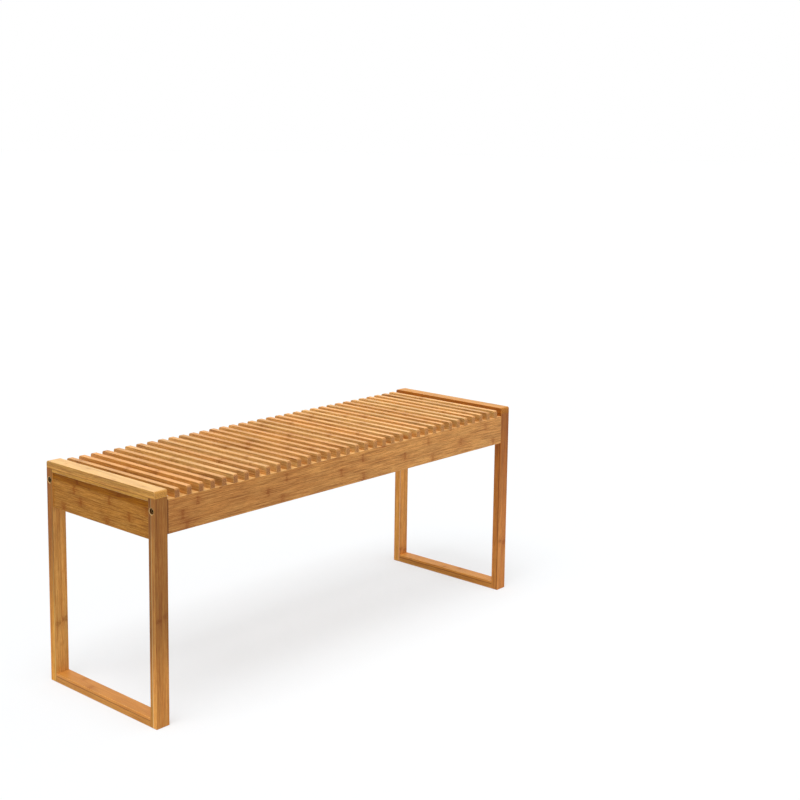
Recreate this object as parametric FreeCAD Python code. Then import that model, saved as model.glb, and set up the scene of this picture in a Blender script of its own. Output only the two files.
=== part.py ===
import FreeCAD, Part

import math
import os
from dataclasses import dataclass

# A slatted bench in laminated bamboo: two end frames, two long aprons, and cross slats laid on the
# aprons. X runs along the length, Y from the front to the rear and Z up. The origin is on the floor
# under the middle of the bench. Sizes are in millimetres.

Vector = FreeCAD.Vector

# Whole bench
BENCH_LENGTH = 1068.0
BENCH_DEPTH = 334.0
BENCH_HEIGHT = 450.0

# Rounding of the long edges of the frame's pieces
FRAME_EDGE_RADIUS = 0.8

# Legs, with their broad sides facing the front and the rear
LEG_WIDTH = 30.0
LEG_THICKNESS = 18.0

# Cap rails, each laid across two legs, with a step that drops between them
CAP_THICKNESS = 14.0
CAP_STEP = 6.5
CAP_END_RADIUS = 4.5

# End aprons, between the legs of one end and under its cap rail
END_APRON_HEIGHT = 71.5
END_APRON_THICKNESS = 18.0
END_APRON_SETBACK = 2.0

# Floor rails, laid flat between the feet of one end
FLOOR_RAIL_HEIGHT = 18.0

# Long aprons, from end frame to end frame
LONG_APRON_HEIGHT = 65.0
LONG_APRON_THICKNESS = 21.0

# Slats, laid across the tops of the long aprons with even gaps
SLAT_COUNT = 35
SLAT_WIDTH = 11.0
SLAT_HEIGHT = 16.5
SLAT_DROP = 3.2
SLAT_END_RADIUS = 4.5
SLAT_EDGE_RADIUS = 0.4

# Bolts with a hexagon socket, one through each leg into the end of a long apron
BOLT_DROP = 37.5
BOLT_DIAMETER = 6.0
BOLT_OVERRUN = 3.0
BOLT_TIP_CHAMFER = 0.8
BOLT_HEAD_DIAMETER = 10.0
BOLT_HEAD_HEIGHT = 6.0
BOLT_HEAD_CHAMFER = 0.5
SOCKET_ACROSS_FLATS = 5.0
SOCKET_DEPTH = 3.0
BOLT_HOLE_CLEARANCE = 0.4

# Counterbore of each leg, which hides the head and its washer
COUNTERBORE_DIAMETER = 11.6
COUNTERBORE_DEPTH = 10.0
COUNTERBORE_RIM = 0.7
WASHER_DIAMETER = 11.0
WASHER_THICKNESS = 1.0
WASHER_CLEARANCE = 0.2

# Barrel nuts, let into the long aprons from the inside
NUT_DIAMETER = 10.0
NUT_LENGTH = 12.0
NUT_INSET = 26.0
NUT_SLOT_WIDTH = 1.6
NUT_SLOT_DEPTH = 1.2
NUT_CLEARANCE = 0.15
NUT_THREAD_CLEARANCE = 0.05

# Round dowels of the frames
DOWEL_DIAMETER = 8.0
DOWEL_CHAMFER = 0.8
DOWEL_CLEARANCE = 0.1
DOWEL_END_GAP = 1.0
APRON_DOWEL_RISE = 16.0
APRON_DOWEL_LEG_DEPTH = 12.0
APRON_DOWEL_APRON_DEPTH = 22.0
END_DOWEL_RISE = 14.0
END_DOWEL_WALL = 6.0
END_DOWEL_LEG_DEPTH = 12.0
END_DOWEL_APRON_DEPTH = 20.0
RAIL_DOWEL_SPACING = 14.0
RAIL_DOWEL_LEG_DEPTH = 12.0
RAIL_DOWEL_RAIL_DEPTH = 20.0
CAP_DOWEL_LEG_DEPTH = 13.0
CAP_DOWEL_CAP_DEPTH = 9.0

# Pins between each slat and the aprons
PIN_DIAMETER = 5.0
PIN_CHAMFER = 0.5
PIN_SLAT_DEPTH = 9.0
PIN_APRON_DEPTH = 8.0

# How close a point lies to a plane to count as on it
ON_PLANE = 0.01

SIDES = {"left": -1, "right": 1}
ROWS = {"front": -1, "rear": 1}

X_AXIS = Vector(1, 0, 0)
Y_AXIS = Vector(0, 1, 0)
Z_AXIS = Vector(0, 0, 1)

# Levels and lengths that several pieces share
LEG_TOP = BENCH_HEIGHT - CAP_THICKNESS
STEP_BOTTOM = LEG_TOP - CAP_STEP
SEAT_TOP = BENCH_HEIGHT - SLAT_DROP
APRON_TOP = SEAT_TOP - SLAT_HEIGHT
APRON_BOTTOM = APRON_TOP - LONG_APRON_HEIGHT
END_APRON_BOTTOM = STEP_BOTTOM - END_APRON_HEIGHT
BOLT_LEVEL = BENCH_HEIGHT - BOLT_DROP
END_X = BENCH_LENGTH / 2
FRAME_INNER_X = END_X - LEG_WIDTH
FRAME_MIDDLE_X = END_X - LEG_WIDTH / 2
FACE_Y = BENCH_DEPTH / 2
LEG_INNER_Y = FACE_Y - LEG_THICKNESS
LEG_MIDDLE_Y = FACE_Y - LEG_THICKNESS / 2
APRON_INNER_Y = FACE_Y - LONG_APRON_THICKNESS
APRON_MIDDLE_Y = (FACE_Y + APRON_INNER_Y) / 2
SLAT_GAP = (2 * FRAME_INNER_X - SLAT_COUNT * SLAT_WIDTH) / (SLAT_COUNT + 1)


@dataclass(frozen=True)
class Peg:
    """A round peg through a joint, and the hole that both pieces have for it."""

    joint: Vector
    ahead: Vector
    back_depth: float
    ahead_depth: float
    diameter: float
    chamfer: float

    def solid(self):
        """The peg itself, with chamfered ends."""
        start = self.joint - self.ahead * self.back_depth
        rod = Part.makeCylinder(self.diameter / 2, self.back_depth + self.ahead_depth, start, self.ahead)
        ends = [edge for edge in rod.Edges if isinstance(edge.Curve, Part.Circle)]
        return rod.makeChamfer(self.chamfer, ends)

    def hole(self):
        """The hole, wider than the peg by a clearance and deeper by a gap at each end."""
        start = self.joint - self.ahead * (self.back_depth + DOWEL_END_GAP)
        length = self.back_depth + self.ahead_depth + 2 * DOWEL_END_GAP
        return Part.makeCylinder(self.diameter / 2 + DOWEL_CLEARANCE, length, start, self.ahead)


def dowel(joint, ahead, back_depth, ahead_depth):
    """A frame dowel through a joint face."""
    return Peg(joint, ahead, back_depth, ahead_depth, DOWEL_DIAMETER, DOWEL_CHAMFER)


def slat_pin(joint):
    """An upright pin between an apron's top and a slat."""
    return Peg(joint, Z_AXIS, PIN_APRON_DEPTH, PIN_SLAT_DEPTH, PIN_DIAMETER, PIN_CHAMFER)


def block(x_range, y_range, z_range):
    """A block between two values on each axis."""
    low = Vector(min(x_range), min(y_range), min(z_range))
    high = Vector(max(x_range), max(y_range), max(z_range))
    size = high - low
    return Part.makeBox(size.x, size.y, size.z, low)


def soften(shape, edges, radius):
    """Round the given edges."""
    return shape.makeFillet(radius, edges)


def drill(shape, tools):
    """Cut every tool out of a shape and keep its one solid."""
    for tool in tools:
        shape = shape.cut(tool)
    return shape.Solids[0]


def rounded_side(x, half, low, top, radius):
    """Edges up the rear end, over the top with two rounded corners, and down the front end."""
    inner = half - radius
    spring = top - radius
    bend = radius * math.cos(math.pi / 4)
    crown = spring + bend
    rear = Part.Arc(Vector(x, half, spring), Vector(x, inner + bend, crown), Vector(x, inner, top))
    front = Part.Arc(Vector(x, -inner, top), Vector(x, -inner - bend, crown), Vector(x, -half, spring))
    return [
        Part.makeLine(Vector(x, half, low), Vector(x, half, spring)),
        rear.toShape(),
        Part.makeLine(Vector(x, inner, top), Vector(x, -inner, top)),
        front.toShape(),
        Part.makeLine(Vector(x, -half, spring), Vector(x, -half, low)),
    ]


def bar_from_side(side_edges, under_points, width):
    """Close a side outline underneath and give it a width along X."""
    under = [Part.makeLine(start, end) for start, end in zip(under_points, under_points[1:])]
    return Part.Face(Part.Wire(side_edges + under)).extrude(X_AXIS * width)


def rim_above(bar, low):
    """Edges of a bar's two side outlines whose middles lie above a level."""
    sides = (bar.BoundBox.XMin, bar.BoundBox.XMax)
    return [
        edge for edge in bar.Edges
        if min(abs(edge.CenterOfMass.x - side) for side in sides) < ON_PLANE
        and edge.CenterOfMass.z > low + ON_PLANE
    ]


def slat_x(index):
    """Middle of a slat along the length."""
    return SLAT_GAP * (index + 1) + SLAT_WIDTH * index + SLAT_WIDTH / 2 - FRAME_INNER_X


def slat_pins(index):
    """The pins of one slat, one over each long apron."""
    return [slat_pin(Vector(slat_x(index), row * APRON_MIDDLE_Y, APRON_TOP)) for row in ROWS.values()]


def slat(index):
    """A slat with rounded top ends, flush with the faces of the long aprons."""
    x = slat_x(index) - SLAT_WIDTH / 2
    outline = rounded_side(x, FACE_Y, APRON_TOP, SEAT_TOP, SLAT_END_RADIUS)
    under = [Vector(x, -FACE_Y, APRON_TOP), Vector(x, FACE_Y, APRON_TOP)]
    bar = bar_from_side(outline, under, SLAT_WIDTH)
    bar = soften(bar, rim_above(bar, 0), SLAT_EDGE_RADIUS)
    return drill(bar, [pin.hole() for pin in slat_pins(index)])


def apron_dowel(side, row):
    """The dowel under the bolt, from a leg into a long apron."""
    level = APRON_BOTTOM + APRON_DOWEL_RISE
    joint = Vector(side * FRAME_INNER_X, row * LEG_MIDDLE_Y, level)
    return dowel(joint, X_AXIS * -side, APRON_DOWEL_LEG_DEPTH, APRON_DOWEL_APRON_DEPTH)


def end_apron_dowels(side, row):
    """The two dowels from a leg into an end apron, both below the bolt."""
    low = END_APRON_BOTTOM + END_DOWEL_RISE
    high = BOLT_LEVEL - COUNTERBORE_DIAMETER / 2 - END_DOWEL_WALL - DOWEL_DIAMETER / 2
    x = side * (END_X - END_APRON_SETBACK - END_APRON_THICKNESS / 2)
    return [
        dowel(Vector(x, row * LEG_INNER_Y, level), Y_AXIS * -row, END_DOWEL_LEG_DEPTH, END_DOWEL_APRON_DEPTH)
        for level in (low, high)
    ]


def floor_rail_dowels(side, row):
    """The two dowels from a leg into a floor rail, side by side."""
    return [
        dowel(
            Vector(side * FRAME_MIDDLE_X + shift, row * LEG_INNER_Y, FLOOR_RAIL_HEIGHT / 2),
            Y_AXIS * -row, RAIL_DOWEL_LEG_DEPTH, RAIL_DOWEL_RAIL_DEPTH,
        )
        for shift in (-RAIL_DOWEL_SPACING / 2, RAIL_DOWEL_SPACING / 2)
    ]


def cap_dowel(side, row):
    """The upright dowel from a leg into its cap rail."""
    joint = Vector(side * FRAME_MIDDLE_X, row * LEG_MIDDLE_Y, LEG_TOP)
    return dowel(joint, Z_AXIS, CAP_DOWEL_LEG_DEPTH, CAP_DOWEL_CAP_DEPTH)


def bolt_point(side, row, depth):
    """A point on a bolt's axis at a depth from the bench's end face."""
    return Vector(side * (END_X - depth), row * LEG_MIDDLE_Y, BOLT_LEVEL)


def bolt_reach():
    """Depth from the bench's end face to the bolt's tip."""
    return LEG_WIDTH + NUT_INSET + NUT_DIAMETER / 2 + BOLT_OVERRUN


def bolt_tools(side, row):
    """Counterbore with its chamfered rim, and the clearance hole for the shank."""
    inward = X_AXIS * -side
    bore_radius = COUNTERBORE_DIAMETER / 2
    start = bolt_point(side, row, 0)
    bore = Part.makeCylinder(bore_radius, COUNTERBORE_DEPTH, start, inward)
    rim = Part.makeCone(bore_radius + COUNTERBORE_RIM, bore_radius, COUNTERBORE_RIM, start, inward)
    shank_radius = BOLT_DIAMETER / 2 + BOLT_HOLE_CLEARANCE
    shank = Part.makeCylinder(shank_radius, bolt_reach() + DOWEL_END_GAP, start, inward)
    return [bore, rim, shank]


def hexagon(centre, inward, across, depth):
    """A hexagonal prism that runs inward from its centre point."""
    corner = across / 2 / math.cos(math.pi / 6)
    angles = [turn * math.pi / 3 for turn in range(6)]
    points = [
        centre + Y_AXIS * (corner * math.cos(angle)) + Z_AXIS * (corner * math.sin(angle))
        for angle in angles
    ]
    return Part.Face(Part.makePolygon(points + points[:1])).extrude(inward * depth)


def frame_bolt(side, row):
    """A bolt with a chamfered head, a hexagon socket and a chamfered tip."""
    inward = X_AXIS * -side
    seat_depth = COUNTERBORE_DEPTH - WASHER_THICKNESS
    head_start = bolt_point(side, row, seat_depth - BOLT_HEAD_HEIGHT)
    head = Part.makeCylinder(BOLT_HEAD_DIAMETER / 2, BOLT_HEAD_HEIGHT, head_start, inward)
    rim = [edge for edge in head.Edges if (edge.CenterOfMass - head_start).Length < ON_PLANE]
    head = head.makeChamfer(BOLT_HEAD_CHAMFER, rim)
    tip = bolt_point(side, row, bolt_reach())
    shank = Part.makeCylinder(BOLT_DIAMETER / 2, bolt_reach() - seat_depth, tip, -inward)
    end = [edge for edge in shank.Edges if (edge.CenterOfMass - tip).Length < ON_PLANE]
    shank = shank.makeChamfer(BOLT_TIP_CHAMFER, end)
    socket = hexagon(head_start, inward, SOCKET_ACROSS_FLATS, SOCKET_DEPTH)
    return head.fuse(shank).cut(socket).removeSplitter().Solids[0]


def bolt_washer(side, row):
    """The washer at the bottom of a counterbore."""
    inward = X_AXIS * -side
    start = bolt_point(side, row, COUNTERBORE_DEPTH - WASHER_THICKNESS)
    disc = Part.makeCylinder(WASHER_DIAMETER / 2, WASHER_THICKNESS, start, inward)
    hole = Part.makeCylinder(BOLT_DIAMETER / 2 + WASHER_CLEARANCE, WASHER_THICKNESS, start, inward)
    return disc.cut(hole).Solids[0]


def nut_middle(side, row):
    """Middle of a barrel nut, where the bolt's axis meets its own."""
    return bolt_point(side, row, LEG_WIDTH + NUT_INSET)


def barrel_nut(side, row):
    """A barrel nut with its cross hole and a slot in the end that faces inside."""
    middle = nut_middle(side, row)
    inside = Y_AXIS * -row
    start = middle - inside * (NUT_LENGTH / 2)
    barrel = Part.makeCylinder(NUT_DIAMETER / 2, NUT_LENGTH, start, inside)
    thread = Part.makeCylinder(
        BOLT_DIAMETER / 2 + NUT_THREAD_CLEARANCE, NUT_DIAMETER, middle - X_AXIS * (NUT_DIAMETER / 2), X_AXIS
    )
    end = middle + inside * (NUT_LENGTH / 2)
    slot = block(
        (end.x - NUT_DIAMETER / 2, end.x + NUT_DIAMETER / 2),
        (end.y, end.y + row * NUT_SLOT_DEPTH),
        (end.z - NUT_SLOT_WIDTH / 2, end.z + NUT_SLOT_WIDTH / 2),
    )
    return barrel.cut(thread).cut(slot).Solids[0]


def nut_hole(side, row):
    """The blind hole for a barrel nut, open to the inside of a long apron."""
    inside = Y_AXIS * -row
    start = nut_middle(side, row) - inside * (NUT_LENGTH / 2)
    depth = NUT_LENGTH / 2 + LEG_MIDDLE_Y - APRON_INNER_Y
    return Part.makeCylinder(NUT_DIAMETER / 2 + NUT_CLEARANCE, depth, start, inside)


def leg(side, row):
    """A leg from the floor to the underside of its cap rail."""
    post = block((side * FRAME_INNER_X, side * END_X), (row * LEG_INNER_Y, row * FACE_Y), (0, LEG_TOP))
    post = soften(post, post.Edges, FRAME_EDGE_RADIUS)
    pegs = [apron_dowel(side, row), cap_dowel(side, row)]
    pegs += end_apron_dowels(side, row) + floor_rail_dowels(side, row)
    return drill(post, [peg.hole() for peg in pegs] + bolt_tools(side, row))


def cap_rail(side):
    """A cap rail with rounded top ends, stepped underneath to sit over and between the legs."""
    x = min(side * END_X, side * FRAME_INNER_X)
    outline = rounded_side(x, FACE_Y, LEG_TOP, BENCH_HEIGHT, CAP_END_RADIUS)
    under = [
        Vector(x, -FACE_Y, LEG_TOP),
        Vector(x, -LEG_INNER_Y, LEG_TOP),
        Vector(x, -LEG_INNER_Y, STEP_BOTTOM),
        Vector(x, LEG_INNER_Y, STEP_BOTTOM),
        Vector(x, LEG_INNER_Y, LEG_TOP),
        Vector(x, FACE_Y, LEG_TOP),
    ]
    bar = bar_from_side(outline, under, LEG_WIDTH)
    bar = soften(bar, rim_above(bar, LEG_TOP), FRAME_EDGE_RADIUS)
    return drill(bar, [cap_dowel(side, row).hole() for row in ROWS.values()])


def end_apron(side):
    """The board between the legs of one end, set back a little from their outer faces."""
    outer = END_X - END_APRON_SETBACK
    board = block(
        (side * outer, side * (outer - END_APRON_THICKNESS)),
        (-LEG_INNER_Y, LEG_INNER_Y),
        (END_APRON_BOTTOM, STEP_BOTTOM),
    )
    board = soften(board, board.Edges, FRAME_EDGE_RADIUS)
    return drill(board, [peg.hole() for row in ROWS.values() for peg in end_apron_dowels(side, row)])


def floor_rail(side):
    """The rail that lies on the floor between the feet of one end."""
    rail = block(
        (side * FRAME_INNER_X, side * END_X),
        (-LEG_INNER_Y, LEG_INNER_Y),
        (0, FLOOR_RAIL_HEIGHT),
    )
    rail = soften(rail, rail.Edges, FRAME_EDGE_RADIUS)
    return drill(rail, [peg.hole() for row in ROWS.values() for peg in floor_rail_dowels(side, row)])


def long_apron(row):
    """A long apron with its dowel, pin, bolt and nut holes."""
    board = block(
        (-FRAME_INNER_X, FRAME_INNER_X),
        (row * FACE_Y, row * APRON_INNER_Y),
        (APRON_BOTTOM, APRON_TOP),
    )
    board = soften(board, board.Edges, FRAME_EDGE_RADIUS)
    tools = []
    for side in SIDES.values():
        tools += [apron_dowel(side, row).hole(), nut_hole(side, row)] + bolt_tools(side, row)
    for index in range(SLAT_COUNT):
        tools += [pin.hole() for pin in slat_pins(index)]
    return drill(board, tools)


def corners():
    """Every pair of an end and a row, one for each leg."""
    return [(side, row) for side in SIDES.values() for row in ROWS.values()]


def frame_nodes():
    """The pieces of the two end frames and the two long aprons."""
    nodes = {}
    for side_name, side in SIDES.items():
        for row_name, row in ROWS.items():
            nodes[f"{side_name}_{row_name}_leg"] = leg(side, row)
        nodes[f"{side_name}_cap_rail"] = cap_rail(side)
        nodes[f"{side_name}_end_apron"] = end_apron(side)
        nodes[f"{side_name}_floor_rail"] = floor_rail(side)
    for row_name, row in ROWS.items():
        nodes[f"{row_name}_apron"] = long_apron(row)
    return nodes


def slat_nodes():
    """The slats, numbered from the left end."""
    return {f"slat_{index + 1:02d}": slat(index) for index in range(SLAT_COUNT)}


def fastener_nodes():
    """Groups of identical fasteners, each group one node."""
    pegs = {
        "apron_dowels": [apron_dowel(*corner) for corner in corners()],
        "end_apron_dowels": [peg for corner in corners() for peg in end_apron_dowels(*corner)],
        "floor_rail_dowels": [peg for corner in corners() for peg in floor_rail_dowels(*corner)],
        "cap_dowels": [cap_dowel(*corner) for corner in corners()],
        "slat_pins": [pin for index in range(SLAT_COUNT) for pin in slat_pins(index)],
    }
    groups = {
        "frame_bolts": [frame_bolt(*corner) for corner in corners()],
        "bolt_washers": [bolt_washer(*corner) for corner in corners()],
        "barrel_nuts": [barrel_nut(*corner) for corner in corners()],
    }
    groups.update({name: [peg.solid() for peg in group] for name, group in pegs.items()})
    return {name: Part.makeCompound(solids) for name, solids in groups.items()}


def main():
    """Build every node and write each to its own file."""
    os.makedirs("parts", exist_ok=True)
    nodes = {**frame_nodes(), **slat_nodes(), **fastener_nodes()}
    for name, shape in nodes.items():
        if not shape.isValid():
            raise ValueError(f"{name} is not a valid shape")
        shape.exportStep(f"parts/{name}.step")
        print(name, len(shape.Solids), round(shape.Volume))


main()
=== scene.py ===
import logging
import math
from dataclasses import dataclass
from enum import Enum
from typing import Mapping, Sequence

import bmesh
import bpy
from mathutils import Matrix, Vector


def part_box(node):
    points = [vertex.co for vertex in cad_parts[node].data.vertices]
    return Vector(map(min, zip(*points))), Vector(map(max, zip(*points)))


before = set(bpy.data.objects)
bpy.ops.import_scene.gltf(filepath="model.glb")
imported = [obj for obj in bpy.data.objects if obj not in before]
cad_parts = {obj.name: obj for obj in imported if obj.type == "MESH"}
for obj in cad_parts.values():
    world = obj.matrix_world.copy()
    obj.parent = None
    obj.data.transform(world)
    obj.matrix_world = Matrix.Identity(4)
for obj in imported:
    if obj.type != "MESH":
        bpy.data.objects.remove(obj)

log = logging.getLogger("bamboo_bench")

MM = 0.001

Colour = tuple[float, float, float, float]
Range = tuple[float, float]

WHITE: Colour = (1.0, 1.0, 1.0, 1.0)


def tone(red: int, green: int, blue: int) -> Colour:
    """Turn a colour from steps of 0 to 255, as a screen shows it, into the linear values of a shader.

    Args:
        red: Red step.
        green: Green step.
        blue: Blue step.

    Returns:
        Linear red, green and blue, and an alpha of 1.
    """
    def linear(step: int) -> float:
        """One step as a linear value."""
        share = step / 255
        return share / 12.92 if share <= 0.04045 else ((share + 0.055) / 1.055) ** 2.4

    return linear(red), linear(green), linear(blue), 1.0


class Axis(Enum):
    """An axis of the bench."""

    LENGTH = 0
    DEPTH = 1
    HEIGHT = 2


class Side(Enum):
    """An end of the bench, as its pieces are named."""

    LEFT = "left"
    RIGHT = "right"


class Row(Enum):
    """A long side of the bench, as its pieces are named."""

    FRONT = "front"
    REAR = "rear"


class Faces(Enum):
    """The faces of a bar that a fade covers."""

    ALL = "all"
    TOPS = "tops"
    EDGES = "edges"
    ENDS = "ends"


@dataclass(frozen=True)
class Cells:
    """Cells of a noise in metres, drawn out along the grain, and the finer layers laid over them."""

    length: float
    width: float
    detail: float = 1.0
    roughness: float = 0.5


class Signal:
    """One output of a shader node. Expressions on it add Math nodes."""

    def __init__(self, graph: "Graph", socket: bpy.types.NodeSocket) -> None:
        """Keep the graph that the output belongs to, and its socket."""
        self.graph = graph
        self.socket = socket

    def _sum(self, operation: str, *values: "Value") -> "Signal":
        """Add one Math node of an operation on the given values."""
        return self.graph.node("ShaderNodeMath", {"operation": operation}, dict(enumerate(values)))

    def __add__(self, other: "Value") -> "Signal":
        """The sum of this and another value."""
        return self._sum("ADD", self, other)

    __radd__ = __add__

    def __sub__(self, other: "Value") -> "Signal":
        """This less another value."""
        return self._sum("SUBTRACT", self, other)

    def __rsub__(self, other: float) -> "Signal":
        """A number less this."""
        return self._sum("SUBTRACT", other, self)

    def __mul__(self, other: "Value") -> "Signal":
        """The product of this and another value."""
        return self._sum("MULTIPLY", self, other)

    __rmul__ = __mul__

    def __truediv__(self, other: "Value") -> "Signal":
        """This divided by another value."""
        return self._sum("DIVIDE", self, other)

    def __rtruediv__(self, other: float) -> "Signal":
        """A number divided by this."""
        return self._sum("DIVIDE", other, self)

    def __gt__(self, other: "Value") -> "Signal":
        """1 where this is above another value, else 0."""
        return self._sum("GREATER_THAN", self, other)

    def __abs__(self) -> "Signal":
        """The distance of this from 0."""
        return self._sum("ABSOLUTE", self)

    def floor(self) -> "Signal":
        """The whole number below this."""
        return self._sum("FLOOR", self)

    def least(self, other: "Value") -> "Signal":
        """The smaller of this and another value."""
        return self._sum("MINIMUM", self, other)

    def most(self, other: "Value") -> "Signal":
        """The larger of this and another value."""
        return self._sum("MAXIMUM", self, other)

    def middle(self, second: "Value", third: "Value") -> "Signal":
        """The middle one of this and two other values."""
        return self.least(second).most(self.most(second).least(third))

    def between(self, low: float, high: float) -> "Signal":
        """A value from the low end of a range, where this is 0, to its high end, where this is 1."""
        return self * (high - low) + low

    def rise(self, start: float, end: float) -> "Signal":
        """A smooth rise from one value of this to another, or a fall where the first is the larger.

        Args:
            start: Value of this at which the result is 0.
            end: Value of this at which the result is 1.

        Returns:
            A share from 0 to 1.
        """
        low, high = min(start, end), max(start, end)
        ends = {"To Min": 0.0, "To Max": 1.0} if start < end else {"To Min": 1.0, "To Max": 0.0}
        inputs = {"Value": self, "From Min": low, "From Max": high, **ends}
        return self.graph.node("ShaderNodeMapRange", {"interpolation_type": "SMOOTHSTEP"}, inputs)


Value = Signal | float


class Graph:
    """A node tree that Python expressions fill."""

    MIX_FACTOR, MIX_FIRST, MIX_SECOND, MIX_RESULT = 0, 6, 7, 2

    def __init__(self, tree: bpy.types.NodeTree) -> None:
        """Take a node tree and empty it."""
        self.tree = tree
        tree.nodes.clear()

    def node(
        self,
        kind: str,
        settings: Mapping[str, object] | None = None,
        inputs: Mapping[str | int, object] | None = None,
        output: str | int = 0,
    ) -> Signal | None:
        """Add one node.

        Args:
            kind: Blender's name of the node's type.
            settings: Values of the node itself, set first. A ramp's stops are (place, colour) pairs.
            inputs: A value or a signal for each socket, by its name or number.
            output: Name or number of the output that is wanted.

        Returns:
            The wanted output, or nothing for a node that closes the tree.
        """
        node = self.tree.nodes.new(kind)
        for name, value in (settings or {}).items():
            if name == "stops":
                self._set_stops(node.color_ramp, value)
            else:
                setattr(node, name, value)
        for key, value in (inputs or {}).items():
            if isinstance(value, Signal):
                self.tree.links.new(value.socket, node.inputs[key])
            else:
                node.inputs[key].default_value = value
        return Signal(self, node.outputs[output]) if len(node.outputs) else None

    @staticmethod
    def _set_stops(ramp: bpy.types.ColorRamp, stops: Sequence[tuple[float, Colour]]) -> None:
        """Give a ramp its stops.

        Args:
            ramp: Ramp of a new node, which starts with two stops.
            stops: Place and colour of each stop, two or more.
        """
        for _ in range(len(stops) - len(ramp.elements)):
            ramp.elements.new(1.0)
        for element, (place, colour) in zip(ramp.elements, stops):
            element.position = place
            element.color = colour

    def vector(self, x: Value, y: Value, z: Value) -> Signal:
        """A vector of three values."""
        return self.node("ShaderNodeCombineXYZ", None, {0: x, 1: y, 2: z})

    def parts(self, vector: Signal) -> tuple[Signal, Signal, Signal]:
        """The three values of a vector or colour."""
        node = self.node("ShaderNodeSeparateXYZ", None, {0: vector}).socket.node
        return tuple(Signal(self, output) for output in node.outputs)

    def noise(self, place: Sequence[Value], detail: float, roughness: float) -> Signal:
        """Soft noise with cells of one unit.

        Args:
            place: Three coordinates, in cells.
            detail: Finer layers that are laid over the noise.
            roughness: How strongly the finer layers show.

        Returns:
            Noise from about 0.2 to 0.8.
        """
        settings = {"noise_dimensions": "3D", "normalize": True}
        inputs = {"Vector": self.vector(*place), "Scale": 1.0, "Detail": detail, "Roughness": roughness}
        return self.node("ShaderNodeTexNoise", settings, inputs)

    def stretched(self, place: Sequence[Signal], cells: Cells) -> Signal:
        """Soft noise in cells that are drawn out along the first of three coordinates."""
        sizes = (cells.length, cells.width, cells.width)
        return self.noise([value / size for value, size in zip(place, sizes)], cells.detail, cells.roughness)

    def chances(self, *keys: Value) -> tuple[Signal, Signal, Signal]:
        """Three random values from 0 to 1 that three steady values fix."""
        settings, inputs = {"noise_dimensions": "3D"}, {0: self.vector(*keys)}
        return self.parts(self.node("ShaderNodeTexWhiteNoise", settings, inputs, "Color"))

    def mix(
        self, factor: Value, first: Signal | Colour, second: Signal | Colour, blend: str = "MIX"
    ) -> Signal:
        """Mix two colours.

        Args:
            factor: 0 for the first colour, 1 for the second.
            first: First colour.
            second: Second colour.
            blend: How the second colour is laid over the first.

        Returns:
            The mixed colour.
        """
        settings = {"data_type": "RGBA", "blend_type": blend, "clamp_factor": True}
        inputs = {self.MIX_FACTOR: factor, self.MIX_FIRST: first, self.MIX_SECOND: second}
        return self.node("ShaderNodeMix", settings, inputs, self.MIX_RESULT)

    def brighten(self, colour: Signal, gain: Signal) -> Signal:
        """A colour times a value."""
        return self.node("ShaderNodeVectorMath", {"operation": "SCALE"}, {0: colour, "Scale": gain})

    def choose(self, index: Value, values: Sequence[float | Colour]) -> Value | Colour:
        """Pick a value or a colour by a whole number.

        Args:
            index: The number, from 0.
            values: Value or colour for each number. The last one also serves all higher numbers.

        Returns:
            What is picked.
        """
        chosen: Value | Colour = values[0]
        for place, (before, after) in enumerate(zip(values, values[1:])):
            later = index > place + 0.5
            if isinstance(after, tuple):
                chosen = self.mix(later, chosen, after)
            else:
                chosen = later * (after - before) + chosen
        return chosen

    def ramp(self, value: Signal, stops: Sequence[tuple[float, Colour]]) -> Signal:
        """A colour that a value picks between stops."""
        return self.node("ShaderNodeValToRGB", {"stops": stops}, {0: value})

    def show(self, shader: Signal) -> None:
        """Close the graph of a material with its shader."""
        self.node("ShaderNodeOutputMaterial", None, {"Surface": shader})


def new_material(name: str) -> tuple[bpy.types.Material, Graph]:
    """Make an empty material.

    Args:
        name: Its name.

    Returns:
        The material, and the graph that fills it.
    """
    material = bpy.data.materials.new(name)
    material.use_nodes = True
    return material, Graph(material.node_tree)


@dataclass(frozen=True)
class Tones:
    """Colours of one batch of bamboo, as they look in even light."""

    pale: Colour
    ground: Colour
    streak: Colour
    knuckle: Colour
    end_pale: Colour
    end_fleck: Colour
    # The top faces are mixed toward this colour by the share below, as a painted sheen; rubbed edges take it
    # too.
    painted_sheen_and_wear: Colour
    painted_sheen_share: float = 0.45
    ruddy: Colour = tone(252, 226, 196)


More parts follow.
